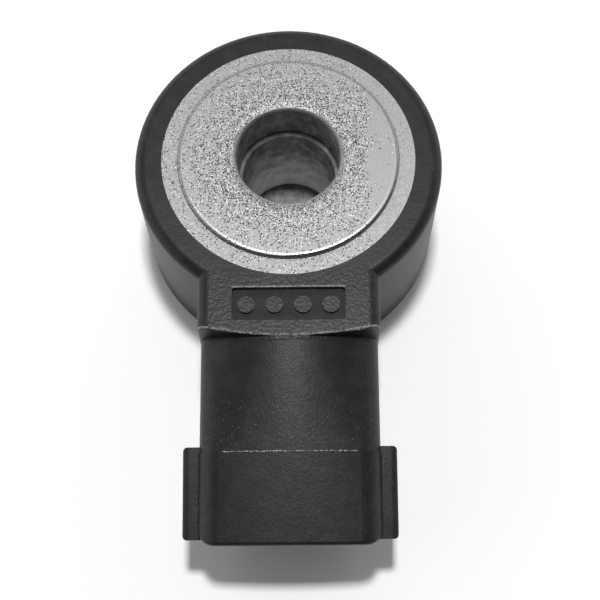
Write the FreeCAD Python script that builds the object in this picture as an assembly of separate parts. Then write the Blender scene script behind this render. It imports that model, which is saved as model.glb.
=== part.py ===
"""Ring type engine knock sensor: moulded body, steel sleeve and the sensing stack inside it.

The frame is in millimetres. The origin is on the bolt bore's axis, in the plane of the raised
contact face. +Z points out of that face, and the connector points along -Y and leans away from
the contact face.
"""

import FreeCAD
import Part
import math
import os

# Sleeve: bolt bore, flange and raised contact face
bolt_bore_diameter = 8.5
entry_bore_step = 0.35
entry_bore_depth = 3.8
bore_edge_round = 0.35
sleeve_wall = 1.75
contact_face_height = 0.4
contact_face_inset = 1.4
contact_edge_round = 0.2
flange_thickness = 2.0
flange_overhang = 0.8
flange_groove_width = 0.7
flange_groove_depth = 0.6
seal_groove_width = 0.4
seal_groove_depth = 0.35
end_chamfer = 0.4
sleeve_stand_out = 0.4

# Sensing stack below the flange: thicknesses along the bore, widths across the rings
insulator_thickness = 0.4
insulator_width = 3.6
contact_thickness = 0.4
contact_width = 3.3
piezo_thickness = 3.0
piezo_width = 3.3
mass_thickness = 2.6
mass_width = 4.4
mass_chamfer = 0.5
spring_thickness = 0.5
spring_rise = 0.4
spring_width = 3.2
nut_thickness = 2.0
nut_wall = 2.8
nut_notch_width = 3.0
nut_notch_depth = 1.4
nut_notch_count = 4
nut_chamfer = 0.4
tube_wall = 0.5
stack_play = 0.1
thread_play = 0.05

# Ring part of the moulded body
ring_wall = 2.45
ring_floor = 1.2
ring_top_round = 1.0
ring_bottom_round = 0.6
seat_relief_width = 1.2
seat_relief_depth = 0.4

# Neck with its flat plateau and date pocket
neck_width = 15.6
neck_height = 10.6
neck_reach = 2.25
neck_front_bulge = 0.9
neck_side_round = 1.0
neck_front_round = 0.3
pocket_width = 9.65
pocket_length = 3.0
pocket_depth = 0.45
pocket_corner_round = 0.3
pocket_front_land = 0.5
pip_count = 4
pip_diameter = 1.5
pip_height = 0.25

# Connector tube and shroud
connector_lean = 12.0
connector_width = 15.4
connector_height = 9.6
connector_drop = 0.15
connector_root = 3.0
connector_side_wall = 1.5
connector_top_wall = 1.3
neck_crown_radius = 13.0
mouth_crown_radius = 40.0
tube_edge_round = 2.3
mouth_corner_round = 1.5
mouth_edge_round = 0.3
shroud_length = 7.7
shroud_lip = 0.08
shroud_overlap = 1.0
cavity_depth = 11.4
cavity_corner_round = 2.0
wing_length = 7.75
wing_height = 4.4
wing_stand_out = 1.4
wing_set_back = 0.45
wing_round = 0.4

# Connector blades, their holder and the shunt resistor
pin_width = 2.8
pin_thickness = 0.8
pin_pitch = 5.0
pin_free_length = 7.4
pin_tail_gap = 1.05
pin_tip_chamfer = 0.24
holder_margin = 1.6
holder_cover = 2.2
holder_length = 2.2
holder_wall = 1.0
tab_width = 2.6
weld_length = 2.2
resistor_gap = 0.45
resistor_diameter = 1.7
resistor_length = 3.4
lead_diameter = 0.5

# Radii round the bolt bore
bore_radius = bolt_bore_diameter / 2
entry_radius = bore_radius + entry_bore_step
sleeve_radius = bore_radius + sleeve_wall
tube_radius = sleeve_radius + stack_play + tube_wall
stack_bore_radius = tube_radius + stack_play
insulator_radius = stack_bore_radius + insulator_width
contact_radius = stack_bore_radius + contact_width
piezo_radius = stack_bore_radius + piezo_width
mass_radius = sleeve_radius + stack_play + mass_width
spring_radius = sleeve_radius + stack_play + spring_width
nut_radius = sleeve_radius + nut_wall
stack_radius = max(insulator_radius, contact_radius, piezo_radius, mass_radius, spring_radius, nut_radius)
flange_radius = stack_radius + flange_overhang
contact_face_radius = flange_radius - contact_face_inset
ring_radius = flange_radius + ring_wall

# Levels, measured upwards from the contact face
plateau_level = -contact_face_height
flange_under = plateau_level - flange_thickness
flange_contact_top = flange_under - insulator_thickness
piezo_top = flange_contact_top - contact_thickness
mass_contact_top = piezo_top - piezo_thickness
mass_insulator_top = mass_contact_top - contact_thickness
mass_top = mass_insulator_top - insulator_thickness
mass_bottom = mass_top - mass_thickness
nut_top = mass_bottom - spring_thickness - spring_rise
nut_bottom = nut_top - nut_thickness
body_bottom = nut_bottom - ring_floor
relief_level = body_bottom + seat_relief_depth
sleeve_end = body_bottom - sleeve_stand_out
neck_bottom = plateau_level - neck_height
connector_top = plateau_level - connector_drop
connector_middle = connector_top - connector_height / 2
pin_top = connector_middle + pin_thickness / 2
pin_bottom = connector_middle - pin_thickness / 2
resistor_level = pin_bottom - lead_diameter - resistor_diameter / 2

# Stations along the connector before it leans, from the ring out to the mouth at -Y
neck_front = -ring_radius - neck_reach
hinge_station = neck_front - neck_front_bulge
pin_tail = -ring_radius - pin_tail_gap
weld_end = pin_tail - weld_length
resistor_station = weld_end - resistor_gap - resistor_diameter / 2
holder_back = resistor_station - resistor_diameter / 2 - resistor_gap
holder_front = holder_back - holder_length
cavity_floor = holder_front - holder_wall
pin_tip = cavity_floor - pin_free_length
mouth = cavity_floor - cavity_depth
shroud_start = mouth + shroud_length

# Two places closer than this are the same place
same_place = 1e-6


def turned(outline):
    """Revolves a closed outline of (radius, level) points round the bore's axis."""
    points = [FreeCAD.Vector(radius, 0, level) for radius, level in outline]
    face = Part.Face(Part.makePolygon(points + points[:1]))
    return face.revolve(FreeCAD.Vector(0, 0, 0), FreeCAD.Vector(0, 0, 1), 360)


def disc(radius, top, bottom):
    """A plain disc round the bore's axis, between two levels."""
    return Part.makeCylinder(radius, top - bottom, FreeCAD.Vector(0, 0, bottom))


def washer(outer_radius, inner_radius, top, bottom):
    """A flat washer round the bore's axis, between two levels."""
    return disc(outer_radius, top, bottom).cut(disc(inner_radius, top, bottom))


def block(left, right, front, back, bottom, top):
    """A box between two places on each axis; its front is its -Y end."""
    corner = FreeCAD.Vector(left, front, bottom)
    return Part.makeBox(right - left, back - front, top - bottom, corner)


def leaned(shape):
    """A straight piece of the connector, turned down round the line where its top meets the neck."""
    shape = shape.copy()
    hinge = FreeCAD.Vector(0, hinge_station, connector_top)
    shape.rotate(hinge, FreeCAD.Vector(1, 0, 0), connector_lean)
    return shape


def leaned_place(station, level):
    """Where a place of the straight connector lies once it leans: its station and level."""
    lean = math.radians(connector_lean)
    along = station - hinge_station
    rise = level - connector_top
    new_station = hinge_station + along * math.cos(lean) - rise * math.sin(lean)
    new_level = connector_top + along * math.sin(lean) + rise * math.cos(lean)
    return new_station, new_level


def circle_edges(shape, radius, level):
    """The round edges of one radius that lie at one level."""
    found = []
    for edge in shape.Edges:
        if isinstance(edge.Curve, Part.Circle):
            same_radius = abs(edge.Curve.Radius - radius) < same_place
            if same_radius and abs(edge.Curve.Center.z - level) < same_place:
                found.append(edge)
    return found


def lengthwise_edges(shape, front, back):
    """The edges that run along the connector from one station to another."""
    found = []
    for edge in shape.Edges:
        stations = sorted(vertex.Y for vertex in edge.Vertexes)
        if abs(stations[0] - front) < same_place and abs(stations[-1] - back) < same_place:
            found.append(edge)
    return found


def make_sleeve():
    """Steel sleeve: flange with its keying groove, raised contact face and stepped bore."""
    groove_top = plateau_level - (flange_thickness - flange_groove_width) / 2
    groove_bottom = groove_top - flange_groove_width
    groove_radius = flange_radius - flange_groove_depth
    seal_radius = sleeve_radius - seal_groove_depth
    seal_top = (nut_bottom + relief_level + seal_groove_width) / 2
    seal_bottom = seal_top - seal_groove_width
    outline = [
        (entry_radius, 0),
        (contact_face_radius, 0),
        (contact_face_radius, plateau_level),
        (flange_radius, plateau_level),
        (flange_radius, groove_top),
        (groove_radius, groove_top),
        (groove_radius, groove_bottom),
        (flange_radius, groove_bottom),
        (flange_radius, flange_under),
        (sleeve_radius, flange_under),
        (sleeve_radius, seal_top),
        (seal_radius, seal_top),
        (seal_radius, seal_bottom),
        (sleeve_radius, seal_bottom),
        (sleeve_radius, sleeve_end + end_chamfer),
        (sleeve_radius - end_chamfer, sleeve_end),
        (bore_radius + end_chamfer, sleeve_end),
        (bore_radius, sleeve_end + end_chamfer),
        (bore_radius, -entry_bore_depth - entry_bore_step),
        (entry_radius, -entry_bore_depth),
    ]
    sleeve = turned(outline)
    sleeve = sleeve.makeFillet(bore_edge_round, circle_edges(sleeve, entry_radius, 0))
    return sleeve.makeFillet(contact_edge_round, circle_edges(sleeve, contact_face_radius, 0))


def make_contact(top, side, weld_level):
    """Brass contact ring, with a tab that bends to its blade's slope and lies on it.

    The side is -1 or 1, for the blade on the left or on the right.
    """
    ring = washer(contact_radius, stack_bore_radius, top, top - contact_thickness)
    step_start = -stack_radius - contact_thickness
    step_end = pin_tail + contact_thickness
    profile = [
        (-contact_radius + contact_width / 2, top),
        (step_start, top),
        leaned_place(step_end, weld_level),
        leaned_place(weld_end, weld_level),
        leaned_place(weld_end, weld_level - contact_thickness),
        leaned_place(step_end, weld_level - contact_thickness),
        (step_start, top - contact_thickness),
        (-contact_radius + contact_width / 2, top - contact_thickness),
    ]
    left = (side * pin_pitch - tab_width) / 2
    points = [FreeCAD.Vector(left, station, level) for station, level in profile]
    face = Part.Face(Part.makePolygon(points + points[:1]))
    tab = face.extrude(FreeCAD.Vector(tab_width, 0, 0))
    return ring.fuse(tab).removeSplitter()


def make_seismic_mass():
    """Heavy turned ring with chamfered rims."""
    inner = sleeve_radius + stack_play
    outline = [
        (inner, mass_top),
        (mass_radius - mass_chamfer, mass_top),
        (mass_radius, mass_top - mass_chamfer),
        (mass_radius, mass_bottom + mass_chamfer),
        (mass_radius - mass_chamfer, mass_bottom),
        (inner, mass_bottom),
    ]
    return turned(outline)


def make_disc_spring():
    """Coned spring washer: its rim bears on the mass and its bore on the nut."""
    inner = sleeve_radius + stack_play
    outline = [
        (inner, mass_bottom - spring_rise),
        (spring_radius, mass_bottom),
        (spring_radius, mass_bottom - spring_thickness),
        (inner, nut_top),
    ]
    return turned(outline)


def make_ring_nut():
    """Round nut with spanner notches in its rim."""
    inner = sleeve_radius + thread_play
    outline = [
        (inner, nut_top),
        (nut_radius, nut_top),
        (nut_radius, nut_bottom + nut_chamfer),
        (nut_radius - nut_chamfer, nut_bottom),
        (inner, nut_bottom),
    ]
    nut = turned(outline)
    half_width = nut_notch_width / 2
    notch_floor = nut_radius - nut_notch_depth
    notch_end = nut_radius + nut_notch_depth
    for index in range(nut_notch_count):
        notch = block(notch_floor, notch_end, -half_width, half_width, nut_bottom, nut_top)
        notch.rotate(FreeCAD.Vector(0, 0, 0), FreeCAD.Vector(0, 0, 1), 360 / nut_notch_count * index)
        nut = nut.cut(notch)
    return nut


def make_pin(side):
    """Flat connector blade with a tapered tip, lying under or over its contact's tab."""
    left = (side * pin_pitch - pin_width) / 2
    blade = block(left, left + pin_width, pin_tip, pin_tail, pin_bottom, pin_top)
    tip_edges = lengthwise_edges(blade, pin_tip, pin_tip)
    wide_edges = [edge for edge in tip_edges if edge.BoundBox.XLength > pin_width / 2]
    return leaned(blade.makeChamfer(pin_tip_chamfer, wide_edges))


def make_pin_holder(pins):
    """Small moulded block round both blades, behind the floor of the cavity."""
    half_width = (pin_pitch + pin_width) / 2 + holder_margin
    low = pin_bottom - holder_cover
    high = pin_top + holder_cover
    holder = block(-half_width, half_width, holder_front, holder_back, low, high)
    return leaned(holder).cut(pins)


def make_shunt_resistor():
    """Round resistor body that lies across the gap between the blades, below them."""
    base = FreeCAD.Vector(-resistor_length / 2, resistor_station, resistor_level)
    body = Part.makeCylinder(resistor_diameter / 2, resistor_length, base, FreeCAD.Vector(1, 0, 0))
    return leaned(body)


def make_resistor_leads():
    """Two wire leads, each from an end of the resistor up to the blade above it."""
    radius = lead_diameter / 2
    leads = []
    for side in (-1, 1):
        end = FreeCAD.Vector(side * resistor_length / 2, resistor_station, resistor_level)
        foot = FreeCAD.Vector(side * pin_pitch / 2, resistor_station, resistor_level)
        wire = Part.makeCylinder(radius, (foot - end).Length, end, FreeCAD.Vector(side, 0, 0))
        elbow = Part.makeSphere(radius, foot)
        riser = Part.makeCylinder(radius, pin_bottom - resistor_level, foot)
        leads.append(leaned(wire.fuse([elbow, riser]).removeSplitter()))
    return Part.makeCompound(leads)


def ring_body():
    """Round part of the moulding, with rounded edges and the relief round the bolt's seat."""
    relief_radius = sleeve_radius + seat_relief_width
    outline = [
        (0, plateau_level),
        (ring_radius, plateau_level),
        (ring_radius, body_bottom),
        (relief_radius + seat_relief_depth, body_bottom),
        (relief_radius, relief_level),
        (0, relief_level),
    ]
    body = turned(outline)
    body = body.makeFillet(ring_top_round, circle_edges(body, ring_radius, plateau_level))
    return body.makeFillet(ring_bottom_round, circle_edges(body, ring_radius, body_bottom))


def neck_body():
    """Neck with a flat top, flush with the ring, that ends in a slightly bowed front."""
    half_width = neck_width / 2
    left_front = FreeCAD.Vector(-half_width, neck_front, neck_bottom)
    middle_front = FreeCAD.Vector(0, hinge_station, neck_bottom)
    right_front = FreeCAD.Vector(half_width, neck_front, neck_bottom)
    right_back = FreeCAD.Vector(half_width, 0, neck_bottom)
    left_back = FreeCAD.Vector(-half_width, 0, neck_bottom)
    outline = Part.Wire([
        Part.Arc(left_front, middle_front, right_front).toShape(),
        Part.makeLine(right_front, right_back),
        Part.makeLine(right_back, left_back),
        Part.makeLine(left_back, left_front),
    ])
    neck = Part.Face(outline).extrude(FreeCAD.Vector(0, 0, neck_height))
    neck = neck.makeFillet(neck_side_round, lengthwise_edges(neck, neck_front, 0))
    front_edges = []
    for edge in neck.Edges:
        box = edge.BoundBox
        if box.YMin < neck_front - neck_front_bulge / 2 and box.ZLength < same_place:
            front_edges.append(edge)
    return neck.makeFillet(neck_front_round, front_edges)


def crowned_section(station, width, height, crown_radius):
    """Section of the connector: flat sides, with a top and a bottom that are arched alike."""
    half_width = width / 2
    half_height = height / 2
    side_height = half_height - crown_radius + math.sqrt(crown_radius ** 2 - half_width ** 2)
    top_left = FreeCAD.Vector(-half_width, station, connector_middle + side_height)
    top_middle = FreeCAD.Vector(0, station, connector_middle + half_height)
    top_right = FreeCAD.Vector(half_width, station, connector_middle + side_height)
    low_right = FreeCAD.Vector(half_width, station, connector_middle - side_height)
    low_middle = FreeCAD.Vector(0, station, connector_middle - half_height)
    low_left = FreeCAD.Vector(-half_width, station, connector_middle - side_height)
    return Part.Wire([
        Part.Arc(top_left, top_middle, top_right).toShape(),
        Part.makeLine(top_right, low_right),
        Part.Arc(low_right, low_middle, low_left).toShape(),
        Part.makeLine(low_left, top_left),
    ])


def crowned_length(front, back, width, height):
    """Straight length of the connector between two stations, its crown flatter to the mouth."""
    sections = []
    for station in (back, front):
        share = (station - neck_front) / (mouth - neck_front)
        crown_radius = neck_crown_radius + share * (mouth_crown_radius - neck_crown_radius)
        sections.append(crowned_section(station, width, height, crown_radius))
    body = Part.makeLoft(sections, True, True)
    return body.makeFillet(tube_edge_round, lengthwise_edges(body, front, back))


def mouth_rounding(width, height):
    """The space of a block whose two upright front corners are rounded."""
    half_width = width / 2
    half_height = height / 2
    space = block(
        -half_width, half_width, mouth, shroud_start,
        connector_middle - half_height, connector_middle + half_height,
    )
    corners = []
    for edge in space.Edges:
        upright = edge.BoundBox.ZLength > half_height
        if upright and abs(edge.BoundBox.YMax - mouth) < same_place:
            corners.append(edge)
    return space.makeFillet(mouth_corner_round, corners)


def shroud_body():
    """Shroud round the mouth: a little proud of the tube, its front corners rounded in plan."""
    width = connector_width + 2 * shroud_lip
    height = connector_height + 2 * shroud_lip
    shroud = crowned_length(mouth, shroud_start, width, height)
    shroud = shroud.common(mouth_rounding(width, height))
    rim = []
    for edge in shroud.Edges:
        box = edge.BoundBox
        near_mouth = box.YMax < mouth + mouth_corner_round + same_place
        along_wall = box.XLength < same_place and box.YLength < same_place
        if near_mouth and not along_wall:
            rim.append(edge)
    return shroud, rim


def wing_bar():
    """Bar across the shroud whose two ends are the side wings."""
    half_width = connector_width / 2 + wing_stand_out
    front = mouth + wing_set_back
    low = connector_middle - wing_height / 2
    bar = block(-half_width, half_width, front, front + wing_length, low, low + wing_height)
    outer_edges = []
    for edge in bar.Edges:
        if edge.BoundBox.XLength < same_place:
            outer_edges.append(edge)
    return bar.makeFillet(wing_round, outer_edges)


def cavity_space():
    """Space inside the shroud, open at the mouth."""
    half_width = connector_width / 2 - connector_side_wall
    half_height = connector_height / 2 - connector_top_wall
    front = mouth - cavity_corner_round
    space = block(
        -half_width, half_width, front, cavity_floor,
        connector_middle - half_height, connector_middle + half_height,
    )
    return space.makeFillet(cavity_corner_round, lengthwise_edges(space, front, cavity_floor))


def date_pocket():
    """Shallow pocket in the plateau, with a row of plain round pips left standing in it."""
    front = neck_front + pocket_front_land
    floor = plateau_level - pocket_depth
    half_width = pocket_width / 2
    pocket = block(-half_width, half_width, front, front + pocket_length, floor, plateau_level)
    corners = [edge for edge in pocket.Edges if edge.BoundBox.ZLength > pocket_depth / 2]
    pocket = pocket.makeFillet(pocket_corner_round, corners)
    pitch = pocket_width / pip_count
    for index in range(pip_count):
        place = -half_width + pitch * (index + 0.5)
        foot = FreeCAD.Vector(place, front + pocket_length / 2, floor)
        pocket = pocket.cut(Part.makeCylinder(pip_diameter / 2, pip_height, foot))
    return pocket


def moulded_in_space(pieces):
    """Everything that the plastic flows round: the inner pieces, with their bores filled."""
    filled = [
        disc((entry_radius + sleeve_radius - seal_groove_depth) / 2, 0, sleeve_end),
        disc((stack_bore_radius + nut_radius - nut_notch_depth) / 2, flange_under, nut_bottom),
        disc(spring_radius, mass_bottom, nut_top),
    ]
    return filled + list(pieces)


def connector_body():
    """Leaned connector with its tube, shroud, wings and cavity, rooted inside the neck."""
    tube_front = shroud_start - shroud_overlap
    tube_back = hinge_station + connector_root
    tube = crowned_length(tube_front, tube_back, connector_width, connector_height)
    shroud, rim = shroud_body()
    shroud = shroud.makeFillet(mouth_edge_round, rim)
    body = leaned(tube.fuse(shroud).fuse(wing_bar()).cut(cavity_space()))
    half_width = connector_width / 2
    root_top = connector_top + connector_root
    above_root = block(-half_width, half_width, hinge_station, 0, connector_top, root_top)
    return body.cut(above_root)


def make_housing(inner_pieces):
    """One moulding round the sleeve, the stack and the blades."""
    body = ring_body().fuse(neck_body()).fuse(connector_body())
    for hollow in [date_pocket()] + moulded_in_space(inner_pieces):
        body = body.cut(hollow)
    return body


pins = [make_pin(-1), make_pin(1)]
nodes = {
    "sleeve": make_sleeve(),
    "flange_insulator": washer(insulator_radius, stack_bore_radius, flange_under, flange_contact_top),
    "flange_contact": make_contact(flange_contact_top, 1, pin_top + contact_thickness),
    "piezo_ring": washer(piezo_radius, stack_bore_radius, piezo_top, mass_contact_top),
    "mass_contact": make_contact(mass_contact_top, -1, pin_bottom),
    "mass_insulator": washer(insulator_radius, stack_bore_radius, mass_insulator_top, mass_top),
    "insulating_tube": washer(tube_radius, sleeve_radius + stack_play, flange_under, mass_top),
    "seismic_mass": make_seismic_mass(),
    "disc_spring": make_disc_spring(),
    "ring_nut": make_ring_nut(),
    "signal_pin": pins[0],
    "return_pin": pins[1],
    "pin_holder": make_pin_holder(pins),
    "shunt_resistor": make_shunt_resistor(),
    "resistor_leads": make_resistor_leads(),
}
nodes["housing"] = make_housing(nodes.values())

os.makedirs("parts", exist_ok=True)
for name, shape in nodes.items():
    shape.exportStep("parts/" + name + ".step")
    print(name, shape.isValid(), len(shape.Solids), round(shape.Volume, 3))
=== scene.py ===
"""Looks of the ring type engine knock sensor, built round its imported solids, in metres."""

import bpy
import bmesh
import math
from mathutils import Matrix, Vector, noise as lattice


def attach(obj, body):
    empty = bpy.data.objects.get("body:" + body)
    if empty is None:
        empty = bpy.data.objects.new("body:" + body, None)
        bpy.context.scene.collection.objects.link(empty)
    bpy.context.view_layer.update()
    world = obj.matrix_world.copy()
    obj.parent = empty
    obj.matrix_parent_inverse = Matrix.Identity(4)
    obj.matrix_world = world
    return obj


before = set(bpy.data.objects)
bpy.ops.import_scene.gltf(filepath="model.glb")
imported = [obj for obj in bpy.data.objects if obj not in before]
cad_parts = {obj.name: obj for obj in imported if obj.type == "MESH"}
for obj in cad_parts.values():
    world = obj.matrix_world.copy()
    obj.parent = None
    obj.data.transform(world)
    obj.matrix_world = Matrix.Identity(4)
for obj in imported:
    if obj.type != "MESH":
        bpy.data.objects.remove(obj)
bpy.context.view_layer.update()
mm = 0.001

# Moulded body
# One moulding of black glass filled polyamide. The mould was spark eroded, so the flats have a
# fine grain. Handling has left faint blotches and a few pale specks. Highlights are painted pale
# into the colour on the plateau's front edge and above the pocket.


def new_material(name):
    """An empty procedural material, with its shader and its Object coordinates."""
    material = bpy.data.materials.new(name)
    material.use_nodes = True
    nodes = material.node_tree.nodes
    place = nodes.new("ShaderNodeTexCoord").outputs["Object"]
    return material, nodes["Principled BSDF"], place


def feed(source, target):
    """Links one socket to another."""
    source.id_data.links.new(source, target)


def fed_node(source, kind, entry=0):
    """A new node beside the source socket, with the source linked to one of its inputs."""
    node = source.id_data.nodes.new(kind)
    feed(source, node.inputs[entry])
    return node


def lumps(place, size, detail, roughness, stretch=None):
    """Noise with lumps of about the given size, drawn out by a stretch along each axis."""
    if stretch is not None:
        mapping = fed_node(place, "ShaderNodeMapping")
        mapping.inputs["Scale"].default_value = stretch
        place = mapping.outputs["Vector"]
    texture = fed_node(place, "ShaderNodeTexNoise")
    texture.inputs["Scale"].default_value = 1.0 / size
    texture.inputs["Detail"].default_value = detail
    texture.inputs["Roughness"].default_value = roughness
    return texture.outputs["Fac"]


def shades(value, *stops):
    """A colour ramp with (position, grey) or (position, (red, green, blue)) stops."""
    ramp = fed_node(value, "ShaderNodeValToRGB")
    while len(ramp.color_ramp.elements) < len(stops):
        ramp.color_ramp.elements.new(0.5)
    for element, (position, colour) in zip(ramp.color_ramp.elements, stops):
        element.position = position
        rgb = colour if isinstance(colour, tuple) else (colour, colour, colour)
        element.color = (*rgb, 1.0)
    return ramp.outputs["Color"]


def eased(value, start, end, low=0.0, high=1.0):
    """A value that goes smoothly from low to high between two limits."""
    node = fed_node(value, "ShaderNodeMapRange", "Value")
    node.interpolation_type = "SMOOTHSTEP"
    node.inputs["From Min"].default_value = start
    node.inputs["From Max"].default_value = end
    node.inputs["To Min"].default_value = low
    node.inputs["To Max"].default_value = high
    return node.outputs["Result"]


def combined(how, first, *others):
    """A value put together with other values or numbers, one by one, by the named operation."""
    for other in others:
        node = fed_node(first, "ShaderNodeMath")
        node.operation = how
        if isinstance(other, float):
            node.inputs[1].default_value = other
        else:
            feed(other, node.inputs[1])
        first = node.outputs["Value"]
    return first


def unsigned(value):
    """A value without its sign."""
    node = fed_node(value, "ShaderNodeMath")
    node.operation = "ABSOLUTE"
    return node.outputs["Value"]


def band(value, start, full, fading, end):
    """One between full and fading, and nothing outside start and end."""
    return combined("MULTIPLY", eased(value, start, full), eased(value, end, fading))


def mixed(share, first, second):
    """Two colours mixed by a share."""
    node = fed_node(share, "ShaderNodeMix", "Factor")
    node.data_type = "RGBA"
    first_entry, second_entry, mixture = node.inputs[6], node.inputs[7], node.outputs[2]
    for entry, colour in ((first_entry, first), (second_entry, second)):
        if isinstance(colour, tuple):
            entry.default_value = (*colour, 1.0)
        else:
            feed(colour, entry)
    return mixture


def relief(height, depth, below=None):
    """A bump from a height, on top of another bump if there is one."""
    node = fed_node(height, "ShaderNodeBump", "Height")
    node.inputs["Strength"].default_value = 1.0
    node.inputs["Distance"].default_value = depth
    if below is not None:
        feed(below, node.inputs["Normal"])
    return node.outputs["Normal"]


def finish_solids(material, *names):
    """Gives solids their material."""
    for name in names:
        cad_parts[name].data.materials.clear()
        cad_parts[name].data.materials.append(material)


def pale_specks(place, y):
    """Where dust and small nicks show: dust everywhere, nicks only on the connector's tube."""
    on_tube = band(y, -28.0 * mm, -25.0 * mm, -23.0 * mm, -20.0 * mm)
    nicks = eased(lumps(place, 0.17 * mm, 1.0, 0.4), 0.69, 0.74)
    dust = eased(lumps(place, 0.13 * mm, 1.0, 0.4), 0.76, 0.80, 0.0, 0.6)
    return combined("MAXIMUM", combined("MULTIPLY", nicks, on_tube), dust)


def painted_edge_highlights(place, aside, y, z):
    """Painted highlights, broken up into sparkle: the plateau's front edge where it turns forward,
    and a line above the pocket.
    """
    highlight_sparkle = eased(lumps(place, 0.25 * mm, 2.0, 0.6), 0.34, 0.60, 0.25, 1.0)

    _, towards_ring, _ = fed_node(place.node.outputs["Normal"], "ShaderNodeSeparateXYZ").outputs
    forward = combined("MULTIPLY", towards_ring, -1.0)
    turned_over = band(forward, 0.28, 0.42, 0.75, 0.92)
    along_front = band(y, -17.3 * mm, -17.1 * mm, -15.9 * mm, -15.7 * mm)
    near_top = eased(z, -1.6 * mm, -1.2 * mm)
    front_middle = eased(aside, 8.6 * mm, 7.4 * mm)
    front_edge_highlight = combined(
        "MULTIPLY", turned_over, combined("MULTIPLY", along_front, near_top), highlight_sparkle, front_middle)

    above_pocket = band(y, -12.55 * mm, -12.50 * mm, -12.40 * mm, -12.32 * mm)
    pocket_middle = eased(aside, 4.9 * mm, 4.7 * mm)
    pocket_lip_highlight = combined("MULTIPLY", above_pocket, pocket_middle, highlight_sparkle, 0.6)
    return combined("MAXIMUM", front_edge_highlight, pocket_lip_highlight)


def moulded_black():
    """Black plastic, pebbled on the plateau and dull on the pocket's floor and the wings' tops."""
    material, shader, place = new_material("moulded_black")
    shader.inputs["Specular IOR Level"].default_value = 0.26
    x, y, z = fed_node(place, "ShaderNodeSeparateXYZ").outputs
    aside = unsigned(x)

    grain = lumps(place, 0.17 * mm, 3.0, 0.65)
    blotches = lumps(place, 1.3 * mm, 3.0, 0.6)
    average = combined("MULTIPLY", combined("ADD", grain, blotches), 0.5)
    black = shades(average, (0.36, 0.006), (0.5, 0.010), (0.66, 0.020))
    speck_grey = (0.13, 0.13, 0.125)
    highlight_grey = (0.30, 0.30, 0.29)
    speckled = mixed(combined("MULTIPLY", pale_specks(place, y), 0.5), black, speck_grey)
    # painted highlights: the plateau's front edge and the line above the pocket are mixed towards
    # pale grey
    edge_highlighted = mixed(painted_edge_highlights(place, aside, y, z), speckled, highlight_grey)
    feed(edge_highlighted, shader.inputs["Base Color"])

    on_plateau = band(y, -17.3 * mm, -17.0 * mm, -11.5 * mm, -10.5 * mm)
    at_floor_level = band(z, -0.94 * mm, -0.88 * mm, -0.82 * mm, -0.76 * mm)
    within_pocket = eased(aside, 5.0 * mm, 4.8 * mm)
    on_floor = combined("MULTIPLY", at_floor_level, within_pocket, on_plateau)
    beyond_side = eased(aside, 8.5 * mm, 8.7 * mm)
    past_tube = eased(y, -22.0 * mm, -23.0 * mm)
    on_wings = combined("MULTIPLY", beyond_side, past_tube)
    gloss = shades(grain, (0.25, 0.48), (0.75, 0.38))
    dull_roughness = (0.62, 0.62, 0.62)
    dull = combined("MAXIMUM", on_floor, on_wings)
    feed(mixed(dull, gloss, dull_roughness), shader.inputs["Roughness"])

    outwards = eased(aside, 8.4 * mm, 10.6 * mm, 0.0, -1.0)
    wing_fall = relief(combined("MULTIPLY", outwards, on_wings), 0.5 * mm)
    uneven = relief(blotches, 0.012 * mm, wing_fall)
    pebble_share = eased(on_plateau, 0.0, 1.0, 0.35, 1.0)
    pebbles = combined("MULTIPLY", lumps(place, 0.27 * mm, 1.0, 0.5), pebble_share)
    pebbled = relief(pebbles, 0.035 * mm, uneven)
    feed(relief(grain, 0.006 * mm, pebbled), shader.inputs["Normal"])
    return material


finish_solids(moulded_black(), "housing")

# Sleeve
# Turned and plated steel. The raised contact face is worn and full of fine dark pits round the
# bore, with glints painted pale between them, smooth near one side, and its rim is rolled off.
# The bore itself is dull and has cloudy stains, with light painted paler deep down and shade
# painted dark on the step's ledge.


def spots(place, spacing, inner, outer, share):
    """Small round spots in a share of the cells of a given spacing, at most one to a cell."""
    cells = fed_node(place, "ShaderNodeTexVoronoi")
    cells.inputs["Scale"].default_value = 1.0 / spacing
    chance = fed_node(cells.outputs["Color"], "ShaderNodeSeparateColor").outputs["Red"]
    taken = combined("LESS_THAN", chance, share)
    return combined("MULTIPLY", eased(cells.outputs["Distance"], outer, inner), taken)


def bore_distance(place):
    """How far a point is from the bolt bore's axis."""
    across = fed_node(place, "ShaderNodeVectorMath")
    across.operation = "MULTIPLY"
    across.inputs[1].default_value = (1.0, 1.0, 0.0)
    reach = fed_node(across.outputs["Vector"], "ShaderNodeVectorMath")
    reach.operation = "LENGTH"
    return reach.outputs["Value"]


def face_wear(place, x, radius):
    """How pitted the steel is: most round the bore, hardly at its rim and on the smooth side."""
    patches = combined("ADD", lumps(place, 2.6 * mm, 3.0, 0.6), -0.5)
    wander = combined("MULTIPLY", patches, 2.0 * mm)
    off_smooth_side = eased(combined("ADD", x, wander), 7.4 * mm, 6.9 * mm, 0.06, 1.0)
    near_bore = eased(combined("ADD", radius, wander), 10.2 * mm, 5.6 * mm, 0.22, 1.0)
    off_bore_rim = eased(radius, 4.8 * mm, 5.0 * mm, 0.1, 1.0)
    return combined("MULTIPLY", off_smooth_side, near_bore, off_bore_rim)


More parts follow.
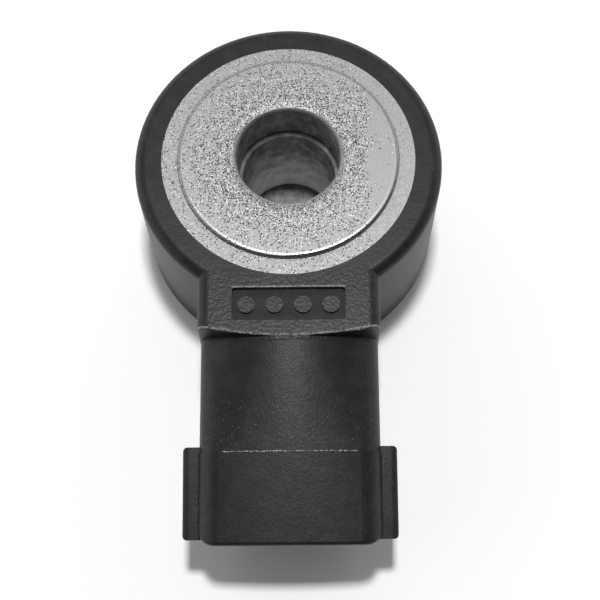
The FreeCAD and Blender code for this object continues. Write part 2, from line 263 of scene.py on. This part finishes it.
def bore_stains_and_painted_light(place, z, radius):
    """The bore's colour: cloudy stains, with light painted paler deep down and shade painted black
    on the step's ledge.
    """
    # painted light: paler towards the bottom of the bore
    painted_light_below = eased(z, -4.0 * mm, -14.0 * mm, 0.0, 0.5)
    stains_and_depth_light = combined("ADD", lumps(place, 1.2 * mm, 4.0, 0.6), painted_light_below)
    stains_and_light = shades(stains_and_depth_light, (0.30, 0.17), (0.55, 0.38), (0.80, 0.72), (1.0, 0.90))
    # painted shade: a black line on the step's ledge, at the top of the narrower bore
    at_ledge = band(z, -3.95 * mm, -3.85 * mm, -3.7 * mm, -3.6 * mm)
    ledge_shade_share = eased(radius, 4.30 * mm, 4.37 * mm, 0.96, 0.62)
    ledge_shade_black = (0.01, 0.01, 0.01)
    return mixed(combined("MULTIPLY", at_ledge, ledge_shade_share), stains_and_light, ledge_shade_black)


def turned_steel():
    """Plated steel: a pitted face, rolled off rims, a fine grained flange and a dull bore."""
    material, shader, place = new_material("turned_steel")
    x, _, z = fed_node(place, "ShaderNodeSeparateXYZ").outputs
    radius = bore_distance(place)

    wear = face_wear(place, x, radius)
    pits = spots(place, 0.135 * mm, 0.30, 0.52, combined("MULTIPLY", wear, 0.72))
    # painted glints: pale spots in the base colour stand in for highlights between the pits
    glints = spots(place, 0.125 * mm, 0.30, 0.50, combined("MULTIPLY", wear, 0.42))
    grain = lumps(place, 0.09 * mm, 2.0, 0.6)
    plated = shades(grain, (0.3, 0.22), (0.7, 0.37))
    glint_grey = (0.62, 0.62, 0.62)
    pit_grey = (0.04, 0.04, 0.04)
    pitted = mixed(pits, mixed(glints, plated, glint_grey), pit_grey)
    below_face = eased(z, -0.3 * mm, -0.5 * mm)
    within_bore = eased(radius, 4.75 * mm, 4.62 * mm)
    deep = combined("MULTIPLY", below_face, within_bore)
    feed(mixed(deep, pitted, bore_stains_and_painted_light(place, z, radius)), shader.inputs["Base Color"])
    feed(eased(deep, 0.0, 1.0, 1.0, 0.75), shader.inputs["Metallic"])

    on_rim = band(radius, 9.4 * mm, 9.6 * mm, 9.9 * mm, 9.95 * mm)
    plated_roughness = shades(grain, (0.3, 0.62), (0.7, 0.54))
    rim_roughness = (0.42, 0.42, 0.42)
    dull_roughness = (0.6, 0.6, 0.6)
    roughness = mixed(on_rim, plated_roughness, rim_roughness)
    dull = combined("MAXIMUM", deep, pits)
    feed(mixed(dull, roughness, dull_roughness), shader.inputs["Roughness"])

    rim_fall = eased(radius, 9.5 * mm, 9.95 * mm, 0.0, -1.0)
    throat_fall = eased(radius, 5.5 * mm, 4.6 * mm, 0.0, -1.0)
    rolled_rim = relief(rim_fall, 0.06 * mm)
    throat = relief(throat_fall, 0.13 * mm, rolled_rim)
    hollows = relief(combined("MULTIPLY", pits, -1.0), 0.02 * mm, throat)
    feed(relief(grain, 0.010 * mm, hollows), shader.inputs["Normal"])
    return material


finish_solids(turned_steel(), "sleeve")

# Blades and wires
# Stamped brass blades with a tin plating that shows faint lines along their length, and the
# resistor's tinned wires. They are moulded into the connector.


def tinned_brass():
    """Tin plated brass, drawn along the connector's length."""
    material, shader, place = new_material("tinned_brass")
    shader.inputs["Metallic"].default_value = 1.0
    along_connector = (1.0, 0.08, 1.0)
    lines = lumps(place, 0.12 * mm, 3.0, 0.6, along_connector)
    tin = shades(lines, (0.3, (0.60, 0.58, 0.53)), (0.7, (0.78, 0.77, 0.73)))
    feed(tin, shader.inputs["Base Color"])
    feed(shades(lines, (0.3, 0.38), (0.7, 0.26)), shader.inputs["Roughness"])
    feed(relief(lines, 0.006 * mm), shader.inputs["Normal"])
    return material


finish_solids(tinned_brass(), "signal_pin", "return_pin", "resistor_leads")

# Stack inside the body
# Contact rings of sheet brass, insulators of amber film, the fired ceramic, the turned mass
# and nut, the blued spring, and the resistor and blade holder. The moulding hides them all.


def inner_finish(name, dark, light, metallic, roughness, grain_size):
    """A finish between two colours, with a grain of the given size."""
    material, shader, place = new_material(name)
    shader.inputs["Metallic"].default_value = metallic
    grain = lumps(place, grain_size, 3.0, 0.6)
    variation = 0.08
    feed(shades(grain, (0.3, dark), (0.7, light)), shader.inputs["Base Color"])
    feed(shades(grain, (0.3, roughness + variation), (0.7, roughness - variation)),
         shader.inputs["Roughness"])
    feed(relief(grain, 0.01 * mm), shader.inputs["Normal"])
    return material


finish_solids(
    inner_finish("sheet_brass", (0.66, 0.47, 0.20), (0.82, 0.63, 0.31), 1.0, 0.32, 0.3 * mm),
    "flange_contact", "mass_contact")
finish_solids(
    inner_finish("amber_film", (0.62, 0.40, 0.13), (0.80, 0.58, 0.24), 0.0, 0.35, 0.8 * mm),
    "flange_insulator", "mass_insulator", "insulating_tube")
finish_solids(
    inner_finish("mass_steel", (0.30, 0.30, 0.30), (0.46, 0.46, 0.46), 1.0, 0.38, 0.25 * mm),
    "seismic_mass", "ring_nut")
finish_solids(
    inner_finish("fired_ceramic", (0.55, 0.48, 0.34), (0.68, 0.61, 0.46), 0.0, 0.5, 0.2 * mm),
    "piezo_ring")
finish_solids(
    inner_finish("blued_steel", (0.16, 0.17, 0.22), (0.28, 0.29, 0.34), 1.0, 0.3, 0.3 * mm),
    "disc_spring")
finish_solids(
    inner_finish("holder_black", (0.03, 0.03, 0.03), (0.06, 0.06, 0.06), 0.0, 0.5, 0.2 * mm),
    "pin_holder")
finish_solids(
    inner_finish("blue_lacquer", (0.14, 0.27, 0.46), (0.22, 0.36, 0.56), 0.0, 0.25, 0.5 * mm),
    "shunt_resistor")

# Flash line
# Where two parts of the mould met, a thin ragged fin of plastic stands across the top of the
# connector, at the step between the tube and its shroud. Bright bits painted into its colour
# stand in for the sparkle of highlights on its torn edge.
connector_lean = math.radians(12.0)
hinge = Vector((0.0, -16.9, -0.55)) * mm
fin_station = -26.5 * mm
fin_radius = 0.06 * mm
fin_sunk = 0.02 * mm
fin_half_width = 5.6 * mm
fin_steps = 150
crown_top = -0.47 * mm
crown_radius = 28.9 * mm
crown_axis = Vector((0.0, fin_station, crown_top - crown_radius))
half_arc = math.asin(fin_half_width / crown_radius)
ragged_height, ragged_height_lumps = 0.035 * mm, 0.35 * mm
ragged_drift, ragged_drift_lumps = 0.03 * mm, 0.5 * mm
other_lumps = Vector((7.0, 0.0, 0.0))

flash = bmesh.new()
bmesh.ops.create_circle(flash, segments=6, radius=fin_radius)
bmesh.ops.rotate(flash, verts=flash.verts, cent=(0.0, 0.0, 0.0),
                 matrix=Matrix.Rotation(math.radians(90.0), 3, "Y"))
bmesh.ops.translate(flash, verts=flash.verts, vec=(0.0, fin_station, crown_top - fin_sunk))
bmesh.ops.rotate(flash, verts=flash.verts, cent=crown_axis,
                 matrix=Matrix.Rotation(-half_arc, 3, "Y"))
bmesh.ops.spin(flash, geom=flash.verts[:] + flash.edges[:], cent=crown_axis, axis=(0.0, 1.0, 0.0),
               angle=2.0 * half_arc, steps=fin_steps, use_merge=False)
bmesh.ops.holes_fill(flash, edges=[edge for edge in flash.edges if edge.is_boundary])
for vertex in flash.verts:
    vertex.co.z += ragged_height * lattice.noise(vertex.co / ragged_height_lumps)
    vertex.co.y += ragged_drift * lattice.noise(vertex.co / ragged_drift_lumps + other_lumps)
bmesh.ops.rotate(flash, verts=flash.verts, cent=hinge,
                 matrix=Matrix.Rotation(connector_lean, 3, "X"))
bmesh.ops.recalc_face_normals(flash, faces=flash.faces)


def new_object(name, shape):
    """A scene object that takes over a finished shape."""
    mesh = bpy.data.meshes.new(name)
    shape.to_mesh(mesh)
    shape.free()
    piece = bpy.data.objects.new(name, mesh)
    bpy.context.scene.collection.objects.link(piece)
    return piece


def torn_plastic():
    """The moulding's plastic where it is torn thin, with bright bits painted in as sparkle
    highlights.
    """
    material, shader, place = new_material("torn_plastic")
    bits = lumps(place, 0.18 * mm, 2.0, 0.7)
    # painted highlight: the brightest bits stand in for sparkle on the torn edge
    feed(shades(bits, (0.42, 0.03), (0.52, 0.10), (0.62, 0.45)), shader.inputs["Base Color"])
    shader.inputs["Roughness"].default_value = 0.45
    feed(relief(bits, 0.05 * mm), shader.inputs["Normal"])
    return material


flash_line = new_object("flash_line", flash)
flash_line.data.materials.append(torn_plastic())
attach(flash_line, "root")

# Table
# A plain matt white table top, which the sensor lies on with its contact face up. It looks
# slightly brighter than the light alone makes it, as a white table does when overexposed.
table_level = -14.12 * mm
table_glow = 0.05


def matt(name):
    """An empty material with no shine at all."""
    material, shader, place = new_material(name)
    shader.inputs["Roughness"].default_value = 0.9
    shader.inputs["Specular IOR Level"].default_value = 0.0
    return material, shader, place


def white_table():
    """Matt white, with a faint glow that is seen and mirrored but lights nothing."""
    material, shader, place = matt("white_table")
    shader.inputs["Base Color"].default_value = (0.9, 0.9, 0.9, 1.0)
    shader.inputs["Emission Color"].default_value = (1.0, 1.0, 1.0, 1.0)
    rays = place.id_data.nodes.new("ShaderNodeLightPath").outputs
    looked_at = combined("MAXIMUM", rays["Is Camera Ray"], rays["Is Glossy Ray"],
                         rays["Is Transmission Ray"])
    feed(combined("MULTIPLY", looked_at, table_glow), shader.inputs["Emission Strength"])
    return material


bpy.ops.mesh.primitive_plane_add(size=4.0, location=(0.0, 0.0, table_level))
table = bpy.context.object
table.name = "table"
table.data.materials.append(white_table())

# Shadow pad
# A thin grey disc under the sleeve's end, no wider than the sleeve: painted shadow on the table
# inside the bore. It keeps the white table from showing through the bore, and isn't part of the
# sensor.
shadow_pad_level = -14.1 * mm
shadow_pad_radius = 5.8 * mm


def painted_shadow_grey():
    """Matt grey and mottled: the painted shadow's colour."""
    material, shader, place = matt("painted_shadow_grey")
    shadow_mottle = lumps(place, 0.9 * mm, 4.0, 0.7)
    feed(shades(shadow_mottle, (0.3, 0.12), (0.7, 0.30)), shader.inputs["Base Color"])
    return material


disc = bmesh.new()
bmesh.ops.create_circle(disc, cap_ends=True, segments=64, radius=shadow_pad_radius)
bmesh.ops.translate(disc, verts=disc.verts, vec=(0.0, 0.0, shadow_pad_level))
# painted shadow: a grey disc where the table inside the bore lies in shade
bore_shadow_pad = new_object("bore_shadow_pad", disc)
bore_shadow_pad.data.materials.append(painted_shadow_grey())

# Room
# Pale walls all round and a dim ceiling. The walls behind the sensor are lit, and those on the
# camera's side are nearly dark, so that the front of the connector stays black.
wall_light, ceiling_light = 1.8, 0.2
front_share = 0.05
to_lit_walls = (-0.25, 1.0, 0.0)

room = bpy.data.worlds.new("room")
bpy.context.scene.world = room
room.use_nodes = True
background = room.node_tree.nodes["Background"].inputs
background["Color"].default_value = (1.0, 1.0, 1.0, 1.0)
direction = room.node_tree.nodes.new("ShaderNodeTexCoord").outputs["Generated"]
_, _, height = fed_node(direction, "ShaderNodeSeparateXYZ").outputs
towards_lit = fed_node(direction, "ShaderNodeVectorMath")
towards_lit.operation = "DOT_PRODUCT"
towards_lit.inputs[1].default_value = to_lit_walls
walls = eased(height, 0.2, 0.8, wall_light, ceiling_light)
lit_share = eased(towards_lit.outputs["Value"], -0.5, 0.3, front_share, 1.0)
feed(combined("MULTIPLY", walls, lit_share), background["Strength"])

# Lamp
# One small square lamp hangs nearly overhead, a little behind the bore. It gives the soft
# shadow beside the ring and the highlights on the rounded edges.
lamp_place = Vector((0.005, 0.032, 0.358))
lamp_aim = Vector((0.0, -0.01, 0.0))

lamp_data = bpy.data.lights.new("overhead_lamp", "AREA")
lamp_data.size = 0.036
lamp_data.energy = 1.12
lamp = bpy.data.objects.new("overhead_lamp", lamp_data)
bpy.context.scene.collection.objects.link(lamp)
lamp.location = lamp_place
lamp.rotation_euler = (lamp_aim - lamp_place).to_track_quat("-Z", "Y").to_euler()

# Camera
# It is close above the connector, looks down on the sensor at a slant, and is turned a little
# about the bore and about its own line of sight.
camera_place = Vector((0.74, -53.55, 97.9)) * mm
camera_swing = Matrix.Rotation(math.radians(0.95), 4, "Z")
camera_tilt = Matrix.Rotation(math.radians(22.054), 4, "X")
camera_roll = Matrix.Rotation(math.radians(-1.4), 4, "Z")

camera_data = bpy.data.cameras.new("camera")
camera_data.sensor_width = 36.0
camera_data.lens = 75.0
camera_data.clip_start = 0.005
camera = bpy.data.objects.new("camera", camera_data)
camera.matrix_world = camera_swing @ Matrix.Translation(camera_place) @ camera_tilt @ camera_roll
bpy.context.scene.collection.objects.link(camera)
bpy.context.scene.camera = camera
bpy.context.scene.view_settings.view_transform = "Standard"
